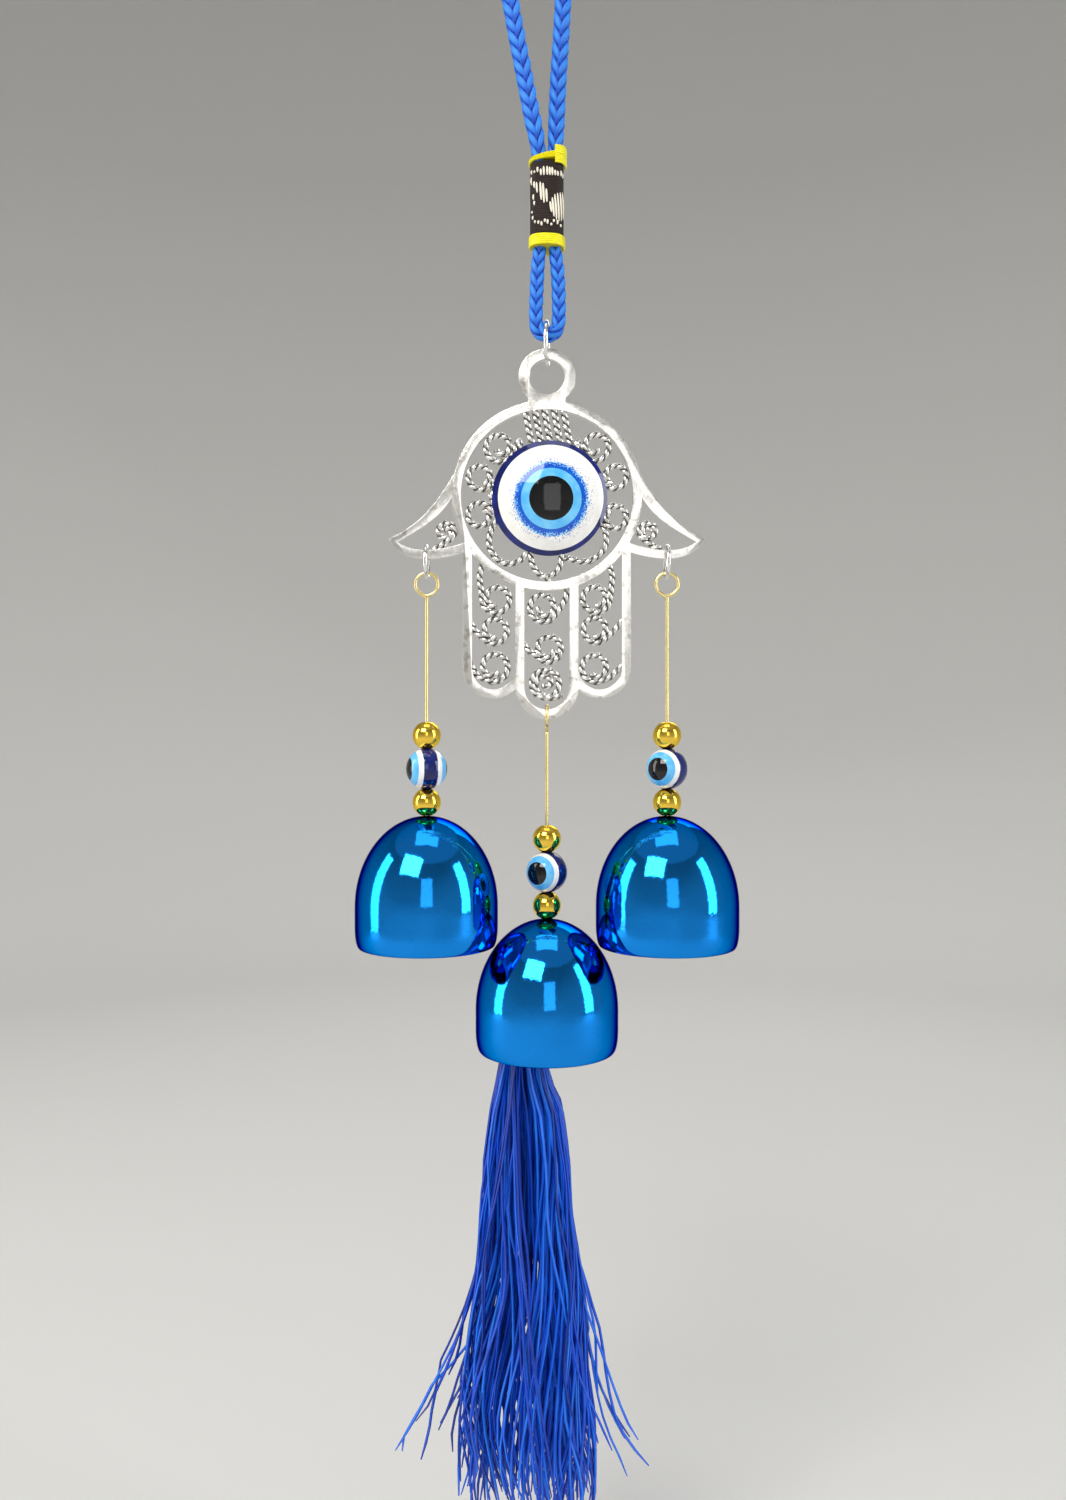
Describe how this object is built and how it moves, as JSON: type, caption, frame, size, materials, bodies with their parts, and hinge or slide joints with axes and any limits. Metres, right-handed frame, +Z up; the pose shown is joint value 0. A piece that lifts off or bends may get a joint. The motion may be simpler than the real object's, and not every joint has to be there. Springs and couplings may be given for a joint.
{
  "type": "evil eye hanging ornament",
  "caption": "Hanging charm: cast hand with scrollwork around a domed glass eye, on a braided cord loop, with beaded drops ending in bells and a thread tassel.",
  "frame": {"origin": "where a hook bears, on the underside of the cord at the top of the hanging loop", "axes": "+Z up along the line it hangs on, -Y is the front, +X to the viewer's right"},
  "size_m": [0.102, 0.038, 0.434],
  "materials": {
    "braided_cord": "round braid, slight sheen",
    "yellow_thread": "flat wound thread",
    "wrap_thread": "wound dark thread with cream stitches",
    "ring_steel": "plated wire",
    "antique_silver": "antique silver plate on cast zinc",
    "navy_glass": "opaque gloss glass",
    "white_glass": "opaque gloss glass",
    "deep_blue_glass": "speckled gloss glass",
    "light_blue_glass": "opaque gloss glass",
    "black_glass": "opaque gloss glass",
    "pin_wire": "pale gold plated wire",
    "gold_bead": "polished gold plate",
    "blue_plate": "mirror blue plate",
    "clapper_metal": "plated steel",
    "tassel_thread": "silky rayon thread"
  },
  "bodies": {
    "hanger": {"hanging_loop_cord": "braided_cord", "lower_loop_cord": "braided_cord", "upper_band": "yellow_thread", "thread_wrap": "wrap_thread", "lower_band": "yellow_thread"},
    "top_ring": {"top_jump_ring": "ring_steel"},
    "hand": {"hamsa_frame": "antique_silver", "palm_filigree": "antique_silver", "left_finger_filigree": "antique_silver", "middle_finger_filigree": "antique_silver", "right_finger_filigree": "antique_silver", "left_thumb_filigree": "antique_silver", "right_thumb_filigree": "antique_silver", "eye_seat": "antique_silver", "eye_base": "navy_glass", "eye_white": "white_glass", "eye_blue_ring": "deep_blue_glass", "eye_iris": "light_blue_glass", "eye_pupil": "black_glass"},
    "left_ring": {"left_thumb_ring": "ring_steel"},
    "left_pin": {"left_eye_pin": "pin_wire"},
    "left_low_bead": {"left_lower_bead": "gold_bead"},
    "left_eye": {"left_eye_bead": "navy_glass", "left_bead_whites": "white_glass", "left_bead_irises": "light_blue_glass", "left_bead_pupils": "black_glass"},
    "left_top_bead": {"left_upper_bead": "gold_bead"},
    "left_bell": {"left_bell": "blue_plate"},
    "left_clapper": {"left_clapper_wire": "pin_wire", "left_clapper_ball": "clapper_metal"},
    "right_ring": {"right_thumb_ring": "ring_steel"},
    "right_pin": {"right_eye_pin": "pin_wire"},
    "right_low_bead": {"right_lower_bead": "gold_bead"},
    "right_eye": {"right_eye_bead": "navy_glass", "right_bead_whites": "white_glass", "right_bead_irises": "light_blue_glass", "right_bead_pupils": "black_glass"},
    "right_top_bead": {"right_upper_bead": "gold_bead"},
    "right_bell": {"right_bell": "blue_plate"},
    "right_clapper": {"right_clapper_wire": "pin_wire", "right_clapper_ball": "clapper_metal"},
    "middle_pin": {"middle_eye_pin": "pin_wire"},
    "middle_low_bead": {"middle_lower_bead": "gold_bead"},
    "middle_eye": {"middle_eye_bead": "navy_glass", "middle_bead_whites": "white_glass", "middle_bead_irises": "light_blue_glass", "middle_bead_pupils": "black_glass"},
    "middle_top_bead": {"middle_upper_bead": "gold_bead"},
    "middle_bell": {"middle_bell": "blue_plate"},
    "tassel": {"tassel_tie": "tassel_thread", "tassel_head": "tassel_thread", "tassel_threads": "tassel_thread"}
  },
  "joints": [
    {"name": "top_ring_swing", "type": "hinge", "parent": "hanger", "child": "top_ring", "pos_m": [0.0037, 0, -0.1128], "axis": [1, 0, 0], "range_deg": [-20, 20]},
    {"name": "hand_swing", "type": "hinge", "parent": "top_ring", "child": "hand", "pos_m": [0.0037, 0, -0.1203], "axis": [0, 1, 0], "range_deg": [-15, 15]},
    {"name": "left_ring_swing", "type": "hinge", "parent": "hand", "child": "left_ring", "pos_m": [-0.02835, 0, -0.17146], "axis": [1, 0, 0], "range_deg": [-20, 20]},
    {"name": "left_pin_swing", "type": "hinge", "parent": "left_ring", "child": "left_pin", "pos_m": [-0.02835, 0, -0.17742], "axis": [0, 1, 0], "range_deg": [0, 25]},
    {"name": "left_beads_slide", "type": "slide", "parent": "left_pin", "child": "left_low_bead", "axis": [0, 0, 1], "range_m": [0, 0.0328]},
    {"name": "left_eye_spin", "type": "hinge", "parent": "left_low_bead", "child": "left_eye", "pos_m": [-0.02835, 0, -0.21602], "axis": [0, 0, 1], "continuous": true},
    {"name": "left_top_bead_spin", "type": "hinge", "parent": "left_eye", "child": "left_top_bead", "pos_m": [-0.02835, 0, -0.21602], "axis": [0, 0, 1], "continuous": true},
    {"name": "left_bell_spin", "type": "hinge", "parent": "left_pin", "child": "left_bell", "pos_m": [-0.02835, 0, -0.24092], "axis": [0, 0, 1], "continuous": true},
    {"name": "left_clapper_swing", "type": "hinge", "parent": "left_pin", "child": "left_clapper", "pos_m": [-0.02835, 0, -0.24642], "axis": [1, 0, 0], "range_deg": [-40, 40]},
    {"name": "right_ring_swing", "type": "hinge", "parent": "hand", "child": "right_ring", "pos_m": [0.03575, 0, -0.17146], "axis": [1, 0, 0], "range_deg": [-20, 20]},
    {"name": "right_pin_swing", "type": "hinge", "parent": "right_ring", "child": "right_pin", "pos_m": [0.03575, 0, -0.17742], "axis": [0, 1, 0], "range_deg": [-25, 0]},
    {"name": "right_beads_slide", "type": "slide", "parent": "right_pin", "child": "right_low_bead", "axis": [0, 0, 1], "range_m": [0, 0.0328]},
    {"name": "right_eye_spin", "type": "hinge", "parent": "right_low_bead", "child": "right_eye", "pos_m": [0.03575, 0, -0.21602], "axis": [0, 0, 1], "continuous": true},
    {"name": "right_top_bead_spin", "type": "hinge", "parent": "right_eye", "child": "right_top_bead", "pos_m": [0.03575, 0, -0.21602], "axis": [0, 0, 1], "continuous": true},
    {"name": "right_bell_spin", "type": "hinge", "parent": "right_pin", "child": "right_bell", "pos_m": [0.03575, 0, -0.24092], "axis": [0, 0, 1], "continuous": true},
    {"name": "right_clapper_swing", "type": "hinge", "parent": "right_pin", "child": "right_clapper", "pos_m": [0.03575, 0, -0.24642], "axis": [1, 0, 0], "range_deg": [-40, 40]},
    {"name": "middle_pin_swing", "type": "hinge", "parent": "hand", "child": "middle_pin", "pos_m": [0.0037, 0, -0.2138], "axis": [1, 0, 0], "range_deg": [-20, 20]},
    {"name": "middle_beads_slide", "type": "slide", "parent": "middle_pin", "child": "middle_low_bead", "axis": [0, 0, 1], "range_m": [0, 0.0249]},
    {"name": "middle_eye_spin", "type": "hinge", "parent": "middle_low_bead", "child": "middle_eye", "pos_m": [0.0037, 0, -0.24351], "axis": [0, 0, 1], "continuous": true},
    {"name": "middle_top_bead_spin", "type": "hinge", "parent": "middle_eye", "child": "middle_top_bead", "pos_m": [0.0037, 0, -0.24351], "axis": [0, 0, 1], "continuous": true},
    {"name": "middle_bell_spin", "type": "hinge", "parent": "middle_pin", "child": "middle_bell", "pos_m": [0.0037, 0, -0.26841], "axis": [0, 0, 1], "continuous": true},
    {"name": "tassel_swing", "type": "hinge", "parent": "middle_pin", "child": "tassel", "pos_m": [0.0037, 0, -0.27391], "axis": [1, 0, 0], "range_deg": [-15, 15]}
  ]
}
